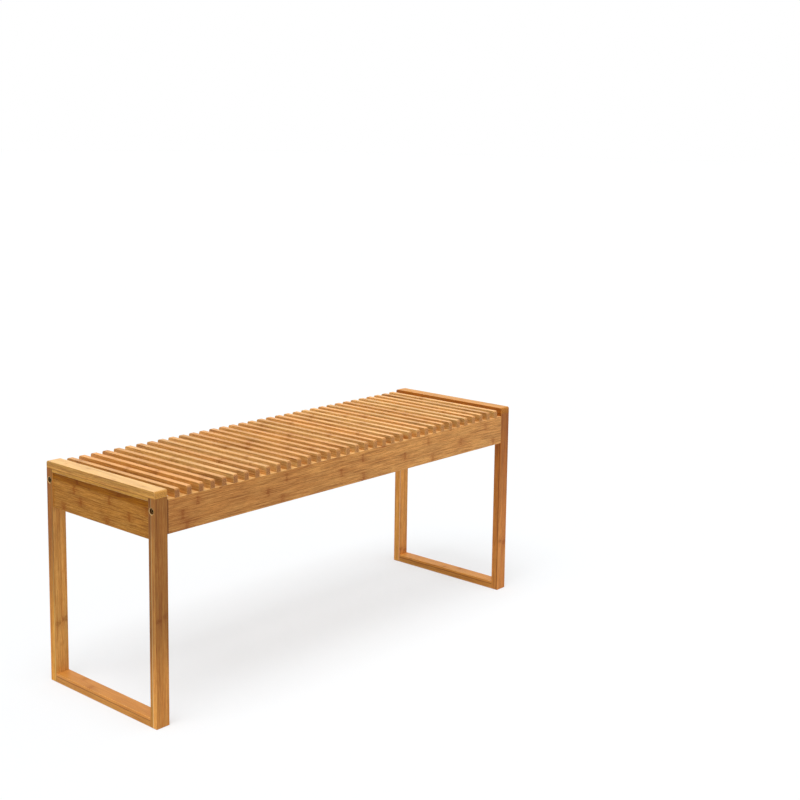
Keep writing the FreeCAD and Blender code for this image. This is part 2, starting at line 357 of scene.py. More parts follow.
@dataclass(frozen=True)
class Grain:
    """Sizes of bamboo's fibres, streaks, knuckles and end grain in metres, and how strongly they show.

    A cut is the range of a noise over which its marks come on.
    """

    fibres: Cells = Cells(30 * MM, 0.42 * MM, 2, 0.55)
    dashes: Cells = Cells(12 * MM, 0.42 * MM)
    dash_cut: Range = (0.5, 0.66)
    dash_share: float = 0.6
    bands: Cells = Cells(70 * MM, 1.7 * MM, 2, 0.65)
    band_share: float = 0.55
    tone_stops: tuple[float, float, float] = (0.37, 0.5, 0.62)
    clouds: Cells = Cells(70 * MM, 14 * MM)
    cloud_swing: float = 0.5
    waves: Cells = Cells(90 * MM, 14 * MM)
    wave_height: float = 0.9 * MM
    curls: Cells = Cells(3.5 * MM, 3.5 * MM)
    curl_height: float = 3.2 * MM
    knuckle_core: float = 2.1 * MM
    knuckle_length: float = 7 * MM
    knuckle_reach: float = 26 * MM
    knuckle_wander: float = 10 * MM
    knuckle_patch: float = 4.5 * MM
    knuckle_uneven: Range = (0.1, 1.9)
    knuckle_breadth: Range = (0.6, 1.4)
    knuckle_inset: Range = (0.2 * MM, 2.0 * MM)
    knuckle_share: float = 0.9
    halo_share: float = 0.3
    strokes: Cells = Cells(1.8 * MM, 0.65 * MM, 2, 0.6)
    stroke_cut: Range = (0.4, 0.54)
    blots: Cells = Cells(3.2 * MM, 3.2 * MM, 2, 0.6)
    blot_cut: Range = (0.36, 0.56)
    dots_floor: float = 0.4
    flecks: Cells = Cells(0.9 * MM, 0.3 * MM)
    fleck_cut: Range = (0.42, 0.62)
    glue_line: float = 0.25 * MM
    glue_share: float = 0.35
    tone_swing: float = 0.14
    hue_swing: float = 0.5


@dataclass(frozen=True)
class Sheen:
    """How the oiled surface shines, and how deep its grain is."""

    roughness: float = 0.46
    roughness_swing: float = 0.25
    knuckle_roughness: float = 0.12
    end_roughness: float = 0.15
    specular: float = 0.22
    grain_depth: float = 0.12 * MM
    grain_strength: float = 0.6
    knuckle_depth: float = 0.5


@dataclass(frozen=True)
class WearAndPaintedLight:
    """Edges paled by wear and painted highlight; painted highlight and shade at the bolt holes."""

    width: float = 1.3 * MM
    core: float = 0.39 * MM
    share: float = 0.35
    patches: Cells = Cells(9 * MM, 9 * MM, 2, 0.6)
    patch_cut: Range = (0.3, 0.6)
    painted_rim_highlight: Colour = tone(246, 208, 140)
    rim_radius: float = 6.2 * MM
    rim_width: float = 0.75 * MM
    rim_share: float = 0.8
    painted_bore_shade: Colour = tone(104, 68, 30)


@dataclass(frozen=True)
class Fade:
    """A tint that comes on along an axis of the bench, from one place to another.

    It covers some faces of the bars, and each twin by a share of its own.
    """

    axis: Axis
    start: float
    end: float
    tint: Colour
    faces: Faces = Faces.ALL
    shares: tuple[float, ...] = (1.0,)


@dataclass(frozen=True)
class Knuckles:
    """Places of the knuckles along one strip.

    The first one, the distance to the next, and how much shorter each further distance is.
    """

    first: float
    spacing: float
    taper: float = 0.0

    @property
    def widest(self) -> float:
        """Distance between knuckles right at the first one."""
        return self.spacing + self.taper / 2

    @property
    def bend(self) -> float:
        """How fast the knuckles crowd together, as a share for each metre."""
        return self.taper / 2 / self.widest ** 2


@dataclass(frozen=True)
class Board:
    """What sets one of a group of twins apart.

    It has tints of its broad and narrow faces, and a seam along its narrow faces at a distance from the
    low side of the bar, with a tint under it down to that side. The shift moves the knuckles along it.
    """

    face: Colour = WHITE
    edge: Colour = WHITE
    seam: float = 0.0
    seam_line: Colour = WHITE
    under: Colour = WHITE
    shift: float = 0.0

    TWIN_SHIFT = 61 * MM
    SEAM_WIDTH = 1.1 * MM
    SEAM_CORE = 0.44 * MM
    SEAM_SHARE = 0.75
    UNDER_BLUR = 0.3 * MM


@dataclass(frozen=True)
class Cut:
    """How bars of one kind are glued up, and the box that holds one of them, in metres.

    A bar that has a twin is measured from the middle of the bench, so that both share one cut. The strips
    fill the box, or have a width of their own and are sawn off at its high side. Where the bars stand in a
    row, the box holds the whole row and each strip of it is one bar with a gap round it.
    """

    grain: Axis
    across: Axis
    through: Axis
    box: tuple[Vector, Vector]
    twins: tuple[Axis, ...]
    strips: int
    plies: int
    knuckles: tuple[Knuckles, ...]
    strip_width: float | None = None
    row_gap: float = 0.0
    boards: tuple[Board, ...] = (Board(),)
    fades: tuple[Fade, ...] = ()
    bolt_hole: tuple[float, float] | None = None

    MARGIN = 0.4 * MM

    def low(self, axis: Axis) -> float:
        """Lowest place of the box along an axis."""
        return self.box[0][axis.value]

    def high(self, axis: Axis) -> float:
        """Highest place of the box along an axis."""
        return self.box[1][axis.value]


@dataclass(frozen=True)
class Spot:
    """Where on a bar a point of its surface lies, and which way the surface faces there."""

    along: Signal
    across: Signal
    through: Signal
    piece: Value
    strip: Signal
    strip_edge: Signal
    ply: Signal
    ply_edge: Signal
    end_face: Signal
    edge_face: Signal
    top_face: Signal
    arris: Signal
    bench: Mapping[Axis, Signal]

    FLAT_END = (0.75, 0.95)
    SAWN_END = (0.35, 0.95)
    ROUNDED_END = (0.1, 0.6)
    EDGE_FACE = (0.5, 0.8)
    TOP_FACE = (0.3, 0.95)

    @property
    def graph(self) -> Graph:
        """The graph that the place belongs to."""
        return self.along.graph

    @property
    def place(self) -> tuple[Signal, Signal, Signal]:
        """Coordinates along, across and through the bar."""
        return self.along, self.across, self.through

    def share(self, faces: Faces) -> Value:
        """How far the surface belongs to some faces of the bar.

        Args:
            faces: The faces.

        Returns:
            1 on them, else 0.
        """
        if faces is Faces.ENDS:
            return self.end_face.rise(*self.FLAT_END)
        return {Faces.TOPS: self.top_face, Faces.EDGES: self.edge_face}.get(faces, 1.0)


@dataclass(frozen=True)
class Bamboo:
    """Laminated bamboo as a solid pattern, so that the grain of each strip runs through to its ends."""

    name: str
    cut: Cut
    tones: Tones
    grain: Grain = Grain()
    sheen: Sheen = Sheen()
    wear_and_light: WearAndPaintedLight = WearAndPaintedLight()

    STRIP_OFFSET = 7.0
    DRIFT_OFFSET = 9.0
    UNEVEN_OFFSET = 5.0
    UNEVEN_START = 3.0
    UNEVEN_SCALE = 1.7
    GLUE_CORE = 0.3

    def material(self) -> bpy.types.Material:
        """Make the material.

        Returns:
            A material whose colour, roughness and bump follow the fibres of each strip.
        """
        tones, grain = self.tones, self.grain
        material, graph = new_material(self.name)
        spot = self._spot(graph)
        strip_tone, strip_offset, strip_chance = graph.chances(spot.strip, spot.ply, spot.piece)
        marks, halo = self._knuckles(spot, strip_offset, strip_chance)
        fibres, dashes, bands = self._fibres(spot, strip_offset, halo)
        flecks = self._flecks(spot)
        colour = self._long_grain(spot, fibres, dashes, bands)
        colour = graph.brighten(colour, self._tone(spot, strip_tone))
        colour = graph.mix(strip_chance * grain.hue_swing, colour, tones.ruddy, "MULTIPLY")
        colour = graph.mix(halo * grain.halo_share, colour, tones.knuckle)
        colour = graph.mix(marks, colour, tones.knuckle)
        colour = graph.mix(self._glue(spot) * grain.glue_share, colour, tones.streak)
        colour = self._end_grain(spot, colour, flecks)
        colour = self._seam(spot, colour)
        # Pale edges: rubbed oil, with a painted highlight.
        colour = graph.mix(self._wear_and_edge_highlight(spot), colour, tones.painted_sheen_and_wear)
        colour = self._rim(spot, self._tint(spot, colour))
        self._finish(colour, spot, fibres, marks, flecks)
        return material

    def _spot(self, graph: Graph) -> Spot:
        """Find where on a bar the shaded point lies.

        Args:
            graph: Graph to add to.

        Returns:
            The place, where twins share the coordinates of one bar.
        """
        cut = self.cut
        place = dict(zip(Axis, graph.parts(graph.node("ShaderNodeTexCoord", output="Object"))))
        normal = dict(zip(Axis, graph.parts(graph.node("ShaderNodeTexCoord", output="Normal"))))
        bench = dict(place)
        piece: Value = 0.0
        for step, axis in enumerate(cut.twins):
            piece = (place[axis] > 0.0) * 2 ** step + piece
            place[axis] = abs(place[axis])
        strip, strip_edge = self._cell(place[cut.across], cut.across, cut.strips, cut.strip_width)
        ply, ply_edge = self._cell(place[cut.through], cut.through, cut.plies)
        axes = (cut.grain, cut.across, cut.through)
        end, side, face = (self._inside(place[axis], axis) for axis in axes)
        if cut.row_gap:
            side = strip_edge - cut.row_gap / 2
        return Spot(
            along=place[cut.grain],
            across=place[cut.across],
            through=place[cut.through],
            piece=piece,
            strip=strip,
            strip_edge=strip_edge,
            ply=ply,
            ply_edge=ply_edge,
            end_face=abs(normal[cut.grain]),
            edge_face=abs(normal[cut.across]).rise(*Spot.EDGE_FACE),
            top_face=normal[Axis.HEIGHT].rise(*Spot.TOP_FACE),
            arris=end.middle(side, face),
            bench=bench,
        )

    def _cell(
        self, value: Signal, axis: Axis, count: int, width: float | None = None
    ) -> tuple[Signal, Signal]:
        """Number of the strip or ply at a place, and the distance to its edge.

        Args:
            value: Coordinate across the strips or plies.
            axis: Axis of that coordinate.
            count: Strips or plies in the box.
            width: Width of one, where they don't fill the box evenly.

        Returns:
            The number, from 0, and the distance in metres.
        """
        margin = 0.0 if self.cut.row_gap and axis is self.cut.across else self.cut.MARGIN
        size = width or (self.cut.high(axis) - self.cut.low(axis) + 2 * margin) / count
        turns = (value - (self.cut.low(axis) - margin)) / size
        cell = turns.floor()
        inside = turns - cell
        return cell, inside.least(1.0 - inside) * size

    def _inside(self, value: Signal, axis: Axis) -> Signal:
        """Distance of a coordinate from the nearer end of the box."""
        return (value - self.cut.low(axis)).least(self.cut.high(axis) - value)

    def _nearest_knuckle(self, spot: Spot, offset: Signal) -> tuple[Signal, Signal]:
        """Find the knuckle of a strip that is nearest to a place.

        Args:
            spot: Place on the bar.
            offset: Random value of the strip, which moves its knuckles where one row serves all strips.

        Returns:
            How far along the grain the place lies past the knuckle, and the knuckle's number.
        """
        graph, rows = spot.graph, self.cut.knuckles
        widest = graph.choose(spot.strip, [row.widest for row in rows])
        bend = graph.choose(spot.strip, [row.bend for row in rows])
        first = graph.choose(spot.strip, [row.first for row in rows])
        if len(rows) == 1:
            first = offset * rows[0].spacing + first
        shift = graph.choose(spot.piece, [board.shift for board in self.cut.boards])
        reach = spot.along - first - shift
        turns = (reach * bend + 1.0) * reach / widest + 0.5
        number = turns.floor()
        return (turns - number - 0.5) * widest, number

    def _knuckles(self, spot: Spot, offset: Signal, chance: Signal) -> tuple[Signal, Signal]:
        """Marks where the culm had its joints: dark dotted clusters with disturbed fibres round them.

        Args:
            spot: Place on the bar.
            offset: Random value of the strip.
            chance: Another random value of the strip.

        Returns:
            The share of dark marks, and the share of disturbed fibres round them.
        """
        graph, grain, patch = spot.graph, self.grain, self.grain.knuckle_patch
        away, number = self._nearest_knuckle(spot, offset)
        darkness, breadth, _ = graph.chances(spot.strip + 0.5, number, spot.piece)
        across, through = spot.across / patch, spot.through / patch
        drift = graph.noise((across, through, offset * self.DRIFT_OFFSET), 2, 0.75)
        place = (across * self.UNEVEN_SCALE, through, offset * self.UNEVEN_OFFSET + self.UNEVEN_START)
        uneven = graph.noise(place, 1, 0.5)
        size = uneven.between(*grain.knuckle_uneven) * breadth.between(*grain.knuckle_breadth)
        away = abs((drift - 0.5) * grain.knuckle_wander + away) / size
        core = away.rise(grain.knuckle_length, grain.knuckle_core)
        halo = away.rise(grain.knuckle_reach, grain.knuckle_length / 2)
        strokes = graph.stretched(spot.place, grain.strokes)
        blots = graph.stretched(spot.place, grain.blots)
        dots = strokes.rise(*grain.stroke_cut).between(grain.dots_floor, 1.0)
        dots = blots.rise(*grain.blot_cut).between(grain.dots_floor, 1.0) * dots
        strength = ((chance + darkness) / 2).between(0.5, 1.0) * grain.knuckle_share
        strength = spot.strip_edge.rise(*grain.knuckle_inset) * strength
        return core * dots * strength, halo * strength

    def _fibres(self, spot: Spot, offset: Signal, halo: Signal) -> tuple[Signal, Signal, Signal]:
        """Fine fibres, dark dashes and broad bands along the grain.

        Args:
            spot: Place on the bar.
            offset: Random value of the strip, which breaks the grain from strip to strip.
            halo: Share of disturbed fibres near a knuckle.

        Returns:
            The fibres, from about 0.2 to 0.8, the share of dashes, and the bands, like the fibres.
        """
        graph, grain = spot.graph, self.grain
        along = offset * self.STRIP_OFFSET + spot.along
        straight = (along, spot.across, spot.through)
        wave = graph.stretched(straight, grain.waves)
        curl = graph.stretched(straight, grain.curls)
        across = (wave - 0.5) * grain.wave_height + (curl - 0.5) * halo * grain.curl_height + spot.across
        grown = (along, across, spot.through)
        fibres = graph.stretched(grown, grain.fibres)
        dashes = graph.stretched(grown, grain.dashes).rise(*grain.dash_cut)
        return fibres, dashes, graph.stretched(grown, grain.bands)

    def _long_grain(self, spot: Spot, fibres: Signal, dashes: Signal, bands: Signal) -> Signal:
        """Colour of the faces along the grain.

        Args:
            spot: Place on the bar.
            fibres: Fine fibres.
            dashes: Share of dark dashes.
            bands: Broad bands.

        Returns:
            The colour, paler on the top, where a sheen is painted in.
        """
        graph, tones, grain = spot.graph, self.tones, self.grain
        blend = bands * grain.band_share + fibres * (1 - grain.band_share)
        stops = tuple(zip(grain.tone_stops, (tones.streak, tones.ground, tones.pale)))
        colour = graph.mix(dashes * grain.dash_share, graph.ramp(blend, stops), tones.streak)
        # Painted sheen: the top faces are made paler.
        return graph.mix(spot.top_face * tones.painted_sheen_share, colour, tones.painted_sheen_and_wear)

    def _tone(self, spot: Spot, chance: Signal) -> Signal:
        """Gain round 1 that a random value gives a strip, and that clouds give places along it."""
        clouds = (spot.graph.stretched(spot.place, self.grain.clouds) - 0.5) * self.grain.cloud_swing
        return (chance - 0.5) * self.grain.tone_swing + clouds + 1.0

    def _glue(self, spot: Spot) -> Signal:
        """Share of glue in the thin lines between strips and plies."""
        edge = spot.ply_edge if self.cut.row_gap else spot.ply_edge.least(spot.strip_edge)
        return edge.rise(self.grain.glue_line, self.grain.glue_line * self.GLUE_CORE)

    def _flecks(self, spot: Spot) -> Signal:
        """Share of dark cut ends of fibre bundles."""
        return spot.graph.stretched(spot.place, self.grain.flecks).rise(*self.grain.fleck_cut)

    def _end_grain(self, spot: Spot, colour: Signal, flecks: Signal) -> Signal:
        """Lay end grain over the faces that cut across the fibres, and its flecks over rounded ends too.

        Args:
            spot: Place on the bar.
            colour: Colour along the grain.
            flecks: Share of dark fibre ends.

        Returns:
            The colour of both.
        """
        graph, end_face = spot.graph, spot.end_face
        colour = graph.mix(end_face.rise(*Spot.SAWN_END), colour, self.tones.end_pale)
        return graph.mix(end_face.rise(*Spot.ROUNDED_END) * flecks, colour, self.tones.end_fleck)

    def _seam(self, spot: Spot, colour: Signal) -> Signal:
        """Lay the seam of each twin over its narrow faces, and the tint of the ply under it.

        Args:
            spot: Place on the bar.
            colour: Colour of the bamboo.

        Returns:
            The colour with both.
        """
        graph, boards, blur = spot.graph, self.cut.boards, Board.UNDER_BLUR
        if not any(board.seam for board in boards):
            return colour
        seam = graph.choose(spot.piece, [board.seam for board in boards])
        above = spot.through - self.cut.low(self.cut.through) - seam
        under = graph.choose(spot.piece, [board.under for board in boards])
        line = graph.choose(spot.piece, [board.seam_line for board in boards])
        colour = graph.mix(above.rise(blur, -blur) * spot.edge_face, colour, under, "MULTIPLY")
        share = abs(above).rise(Board.SEAM_WIDTH, Board.SEAM_CORE) * spot.edge_face * Board.SEAM_SHARE
        return graph.mix(share, colour, line)

    def _wear_and_edge_highlight(self, spot: Spot) -> Signal:
        """Share of the pale edges, in patches: rubbed oil, and a painted highlight too."""
        rubs = spot.graph.stretched(spot.place, self.wear_and_light.patches).rise(*self.wear_and_light.patch_cut)
        return spot.arris.rise(self.wear_and_light.width, self.wear_and_light.core) * rubs * self.wear_and_light.share

    def _rim(self, spot: Spot, colour: Signal) -> Signal:
        """Paint a highlight on the bolt hole's rim and shade on its wall over the colour, on bars that have
        one.

        Args:
            spot: Place on the bar.
            colour: Colour of the bamboo.

        Returns:
            The colour with both.
        """
        if not self.cut.bolt_hole:
            return colour
        graph, (level, middle) = spot.graph, self.cut.bolt_hole
        place = graph.vector(spot.along - level, spot.through - middle, 0.0)
        away = graph.node("ShaderNodeVectorMath", {"operation": "LENGTH"}, {0: place}, "Value")
        radius, width = self.wear_and_light.rim_radius, self.wear_and_light.rim_width
        wall = radius - width / 2
        ring = abs(away - radius).rise(width, width / 2)
        # Painted shade on the wall of the bolt hole, and a painted highlight on its rim.
        colour = graph.mix(away.rise(wall + width / 10, wall), colour, self.wear_and_light.painted_bore_shade)
        return graph.mix(ring * spot.edge_face * self.wear_and_light.rim_share, colour, self.wear_and_light.painted_rim_highlight)

    def _tint(self, spot: Spot, colour: Signal) -> Signal:
        """Give each twin the tints of its board, and lay the fades, mostly painted light and shade, over it.

        Args:
            spot: Place on the bar.
            colour: Colour of the bamboo.

        Returns:
            The tinted colour.
        """
        graph, boards = spot.graph, self.cut.boards
        if boards != (Board(),):
            face = graph.choose(spot.piece, [board.face for board in boards])
            edge = graph.choose(spot.piece, [board.edge for board in boards])
            colour = graph.mix(1.0, colour, graph.mix(spot.edge_face, face, edge), "MULTIPLY")
        for fade in self.cut.fades:
            share = graph.choose(spot.piece, fade.shares) * spot.share(fade.faces)
            share = spot.bench[fade.axis].rise(fade.start, fade.end) * share
            colour = graph.mix(share, colour, fade.tint, "MULTIPLY")
        return colour

    def _finish(self, colour: Signal, spot: Spot, fibres: Signal, marks: Signal, flecks: Signal) -> None:
        """Close the graph with a satin oil over the wood.

        Args:
            colour: Colour of the surface.
            spot: Place on the bar, whose end grain is rougher.
            fibres: Fine fibres, which the oil follows.
            marks: Share of knuckle marks, which are rougher too.
            flecks: Share of dark fibre ends.
        """
        graph, sheen = spot.graph, self.sheen
        ends = spot.end_face.rise(*Spot.ROUNDED_END)
        roughness = (fibres - 0.5) * -sheen.roughness_swing + sheen.roughness
        roughness = marks * sheen.knuckle_roughness + ends * sheen.end_roughness + roughness
        height = fibres * (1.0 - ends) - marks * sheen.knuckle_depth - flecks * ends
        inputs = {"Height": height, "Strength": sheen.grain_strength, "Distance": sheen.grain_depth}
        graph.show(graph.node("ShaderNodeBsdfPrincipled", None, {
            "Base Color": colour,
            "Roughness": roughness,
            "Specular IOR Level": sheen.specular,
            "Normal": graph.node("ShaderNodeBump", None, inputs),
        }))


@dataclass(frozen=True)
class ZincSteel:
    """Yellow zinc on the bolts, washers and barrel nuts, rubbed in patches."""

    name: str = "yellow_zinc"
    film: Colour = tone(122, 92, 48)
    rubbed: Colour = tone(186, 166, 128)
    patches: Cells = Cells(2.2 * MM, 2.2 * MM, 3, 0.6)
    patch_cut: Range = (0.5, 0.75)
    scratches: Cells = Cells(4 * MM, 0.35 * MM, 2, 0.6)
    scratch_depth: float = 0.03 * MM
    scratch_strength: float = 0.3
    roughness: float = 0.55
    rubbed_polish: float = 0.2

    def material(self) -> bpy.types.Material:
        """Make the material.

        Returns:
            A metal that is paler and smoother where it is rubbed.
        """
        material, graph = new_material(self.name)
        place = graph.parts(graph.node("ShaderNodeTexCoord", output="Object"))
        scratches = graph.stretched(place, self.scratches)
        rubbed = graph.stretched(place, self.patches).rise(*self.patch_cut) * scratches.between(0.3, 0.9)
        inputs = {"Height": scratches, "Strength": self.scratch_strength, "Distance": self.scratch_depth}
        graph.show(graph.node("ShaderNodeBsdfPrincipled", None, {
            "Base Color": graph.mix(rubbed, self.film, self.rubbed),
            "Roughness": self.roughness - rubbed * self.rubbed_polish,
            "Metallic": 1.0,
            "Normal": graph.node("ShaderNodeBump", None, inputs),
        }))
        return material


@dataclass(frozen=True)
class DowelWood:
    """Pale turned hardwood of the dowels and pins."""

    name: str = "dowel_wood"
    pale: Colour = tone(226, 197, 155)
    dark: Colour = tone(186, 146, 100)
    pore: float = 0.4 * MM
    pore_length: float = 6 * MM
    pore_cut: Range = (0.35, 0.7)
    pore_depth: float = 0.05 * MM
    pore_strength: float = 0.4
    roughness: float = 0.7
    pore_polish: float = 0.15

    def material(self) -> bpy.types.Material:
        """Make the material.

        Returns:
            A dull wood with dark pores.
        """
        material, graph = new_material(self.name)
        x, y, z = graph.parts(graph.node("ShaderNodeTexCoord", output="Object"))
        pores = graph.noise((x / self.pore, y / self.pore, z / self.pore_length), 2, 0.6)
        inputs = {"Height": pores, "Strength": self.pore_strength, "Distance": self.pore_depth}
        graph.show(graph.node("ShaderNodeBsdfPrincipled", None, {
            "Base Color": graph.mix(pores.rise(*self.pore_cut), self.dark, self.pale),
            "Roughness": self.roughness - pores * self.pore_polish,
            "Normal": graph.node("ShaderNodeBump", None, inputs),
        }))
        return material


def dress(names: Sequence[str], material: bpy.types.Material) -> None:
    """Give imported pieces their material.

    Args:
        names: Names of the pieces.
        material: Their finish.
    """
    for name in names:
        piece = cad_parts[name]
        piece.data.materials.clear()
        piece.data.materials.append(material)
        log.info("%s wears %s", name, material.name)


def twin_box(name: str, twins: Sequence[Axis]) -> tuple[Vector, Vector]:
    """Box of a piece, measured from the middle of the bench along the axes on which it has a twin.

    Args:
        name: Name of a piece.
        twins: Axes on which the piece has a twin.

    Returns:
        Lowest and highest corner.
    """
    low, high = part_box(name)
    for axis in twins:
        low[axis.value], high[axis.value] = sorted((abs(low[axis.value]), abs(high[axis.value])))
    return low, high


@dataclass
class EndFrames:
    """The two end frames: legs, cap rails, end aprons and floor rails."""

    cap_tones: Tones = Tones(
        pale=tone(232, 182, 94), ground=tone(220, 163, 74), streak=tone(166, 106, 38),
        knuckle=tone(152, 88, 20), end_pale=tone(232, 168, 80), end_fleck=tone(165, 110, 48),
        painted_sheen_and_wear=tone(243, 200, 138), painted_sheen_share=0.75,
    )
    leg_tones: Tones = Tones(
        pale=tone(255, 200, 106), ground=tone(252, 182, 86), streak=tone(204, 126, 50),
        knuckle=tone(164, 82, 14), end_pale=tone(204, 146, 82), end_fleck=tone(130, 84, 42),
        painted_sheen_and_wear=tone(252, 186, 108),
    )
    apron_tones: Tones = Tones(
        pale=tone(215, 157, 77), ground=tone(191, 131, 53), streak=tone(139, 83, 30),
        knuckle=tone(140, 66, 8), end_pale=tone(190, 136, 80), end_fleck=tone(120, 78, 42),
        painted_sheen_and_wear=tone(232, 176, 104),
    )
    bolt_level: float = 412.5 * MM

    def dress(self) -> None:
        """Give every piece of both frames its bamboo."""
        dress([f"{side.value}_{row.value}_leg" for side in Side for row in Row], self.leg_bamboo())
        dress([f"{side.value}_cap_rail" for side in Side], self.cap_bamboo())
        dress([f"{side.value}_end_apron" for side in Side], self.apron_bamboo())
        dress([f"{side.value}_floor_rail" for side in Side], self.rail_bamboo())

    def leg_bamboo(self) -> bpy.types.Material:
        """Bamboo of the legs, three plies deep, each with a seam and a tone of its own.

        Returns:
            The material.
        """
        twins = (Axis.LENGTH, Axis.DEPTH)
        box = twin_box("left_front_leg", twins)
        pale, dark = tone(255, 226, 160), tone(128, 68, 26)
        boards = (
            Board(tone(226, 214, 212), WHITE, 8 * MM, pale, tone(209, 202, 165)),
            Board(tone(230, 211, 212), tone(246, 229, 230), 15.3 * MM, dark, WHITE, -90 * MM),
            Board(tone(226, 234, 255), tone(238, 231, 190), 2.6 * MM, pale, tone(214, 210, 206), -87 * MM),
            Board(tone(247, 245, 252), shift=-180 * MM),
        )
        left_front, right_front, left_rear = (1.0, 0.0), (0.0, 1.0, 0.0), (0.0, 0.0, 1.0, 0.0)
        up, edges = Axis.HEIGHT, Faces.EDGES
        fades = (
            # Painted light: paler low down, where the floor lights the leg.
            Fade(up, 60 * MM, 200 * MM, tone(200, 196, 190), Faces.ALL, left_front),
            # Painted shade: the cap's shadow near the top of the narrow faces.
            Fade(up, 345 * MM, 385 * MM, tone(231, 218, 196), edges, left_front),
            # Painted light: paler low down, where the floor lights the leg.
            Fade(up, 60 * MM, 430 * MM, tone(200, 183, 134), Faces.ALL, right_front),
            Fade(up, 400 * MM, 150 * MM, tone(229, 226, 217), edges, right_front),
            # Painted light: paler low down, where the floor lights the leg.
            Fade(up, 60 * MM, 330 * MM, tone(184, 170, 142), edges, left_rear),
            # Painted shade: the cap's shadow near the top of the narrow faces.
            Fade(up, 290 * MM, 380 * MM, tone(253, 243, 207), edges, left_rear),
        )
        cut = Cut(
            up, Axis.LENGTH, Axis.DEPTH, box, twins, 2, 3, (Knuckles(0.212, 0.45), Knuckles(0.206, 0.45)),
            boards=boards, fades=fades, bolt_hole=(self.bolt_level, (box[0].y + box[1].y) / 2),
        )
        grain = Grain(
            knuckle_share=0.8, glue_share=0.6,
            bands=Cells(120 * MM, 1.8 * MM, 2, 0.65), clouds=Cells(70 * MM, 9 * MM),
        )
        return Bamboo("oiled_leg_bamboo", cut, self.leg_tones, grain).material()

    def cap_bamboo(self) -> bpy.types.Material:
        """Pale bamboo of the cap rails, with a dark seam over their step.

        Returns:
            The material.
        """
        twins = (Axis.LENGTH,)
        step, dark = 6.5 * MM, tone(158, 98, 30)
        pale, ruddy = tone(244, 238, 205), tone(244, 238, 222)
        cut = Cut(
            Axis.DEPTH, Axis.LENGTH, Axis.HEIGHT, twin_box("left_cap_rail", twins), twins, 4, 3,
            (Knuckles(0.03, 0.24),), boards=(
                Board(WHITE, WHITE, step, dark, pale),
                Board(tone(230, 202, 151), tone(230, 190, 148), step, dark, ruddy, Board.TWIN_SHIFT),
            ),
            fades=(Fade(Axis.HEIGHT, 438 * MM, 442 * MM, tone(233, 233, 231), Faces.EDGES, (1.0, 0.0)),),
        )
        grain = Grain(knuckle_share=0.5, glue_share=0.4, bands=Cells(70 * MM, 1.8 * MM, 2, 0.65))
        return Bamboo("oiled_cap_bamboo", cut, self.cap_tones, grain).material()

    def apron_bamboo(self) -> bpy.types.Material:
        """Bamboo of the end aprons, three broad strips and half of one high, with painted shade under the
        cap.

        Returns:
            The material.
        """
        twins = (Axis.LENGTH,)
        rows = (
            Knuckles(-0.023, 0.138),
            Knuckles(-0.091, 0.150),
            Knuckles(-0.142, 0.111),
            Knuckles(0.07, 0.13),
        )
        cut = Cut(
            Axis.DEPTH, Axis.HEIGHT, Axis.LENGTH, twin_box("left_end_apron", twins), twins, 4, 3, rows,
            strip_width=20 * MM, boards=(Board(), Board(shift=Board.TWIN_SHIFT)),
            # Painted shade: the cap's shadow, darkening the apron just under the cap.
            fades=(Fade(Axis.HEIGHT, 411 * MM, 420 * MM, tone(211, 190, 71)),),
        )
        dull = Sheen(specular=0.06)
        return Bamboo("oiled_end_apron_bamboo", cut, self.apron_tones, sheen=dull).material()

    def rail_bamboo(self) -> bpy.types.Material:
        """Bamboo of the floor rails, with dark lines between its plies.

        Returns:
            The material.
        """
        twins = (Axis.LENGTH,)
        dark = tone(140, 72, 28)
        cut = Cut(
            Axis.DEPTH, Axis.LENGTH, Axis.HEIGHT, twin_box("left_floor_rail", twins), twins, 2, 3,
            (Knuckles(0.02, 0.22),), boards=(
                Board(tone(225, 221, 205), WHITE, 12 * MM, dark, tone(238, 246, 244)),
                Board(tone(252, 255, 242), WHITE, 12 * MM, dark, tone(243, 247, 250), Board.TWIN_SHIFT),
            ),
        )
        grain = Grain(glue_line=0.6 * MM, glue_share=0.9)
        return Bamboo("oiled_floor_rail_bamboo", cut, self.leg_tones, grain).material()


@dataclass
class LongAprons:
    """The two boards along the bench."""

    tones: Tones = Tones(
        pale=tone(246, 189, 111), ground=tone(228, 163, 87), streak=tone(166, 101, 44),
        knuckle=tone(156, 76, 12), end_pale=tone(190, 136, 80), end_fleck=tone(120, 78, 42),
        painted_sheen_and_wear=tone(249, 208, 141), painted_sheen_share=0.9,
    )

    def dress(self) -> None:
        """Give both boards their bamboo, three broad strips and the edge of a fourth high."""
        twins = (Axis.DEPTH,)
        rows = (
            Knuckles(-0.459, 0.243, 0.0080),
            Knuckles(-0.469, 0.214, 0.0073),
            Knuckles(-0.433, 0.229, 0.0078),
            Knuckles(-0.377, 0.230),
        )
        cut = Cut(
            Axis.LENGTH, Axis.HEIGHT, Axis.DEPTH, twin_box("front_apron", twins), twins, 4, 3, rows,
            strip_width=20 * MM, boards=(Board(), Board(shift=Board.TWIN_SHIFT)),
            fades=(
                Fade(Axis.LENGTH, -300 * MM, 450 * MM, tone(225, 212, 203), Faces.TOPS),
                # Painted light: darker towards the left end, standing in for light that grows towards the
                # right end.
                Fade(Axis.LENGTH, 400 * MM, -534 * MM, tone(226, 217, 204)),
                # Painted shade: a dark line where the boards meet the left legs.
                Fade(Axis.LENGTH, -501 * MM, -503.5 * MM, tone(150, 120, 90)),
            ),
        )
        material = Bamboo("oiled_long_apron_bamboo", cut, self.tones).material()
        dress([f"{row.value}_apron" for row in Row], material)


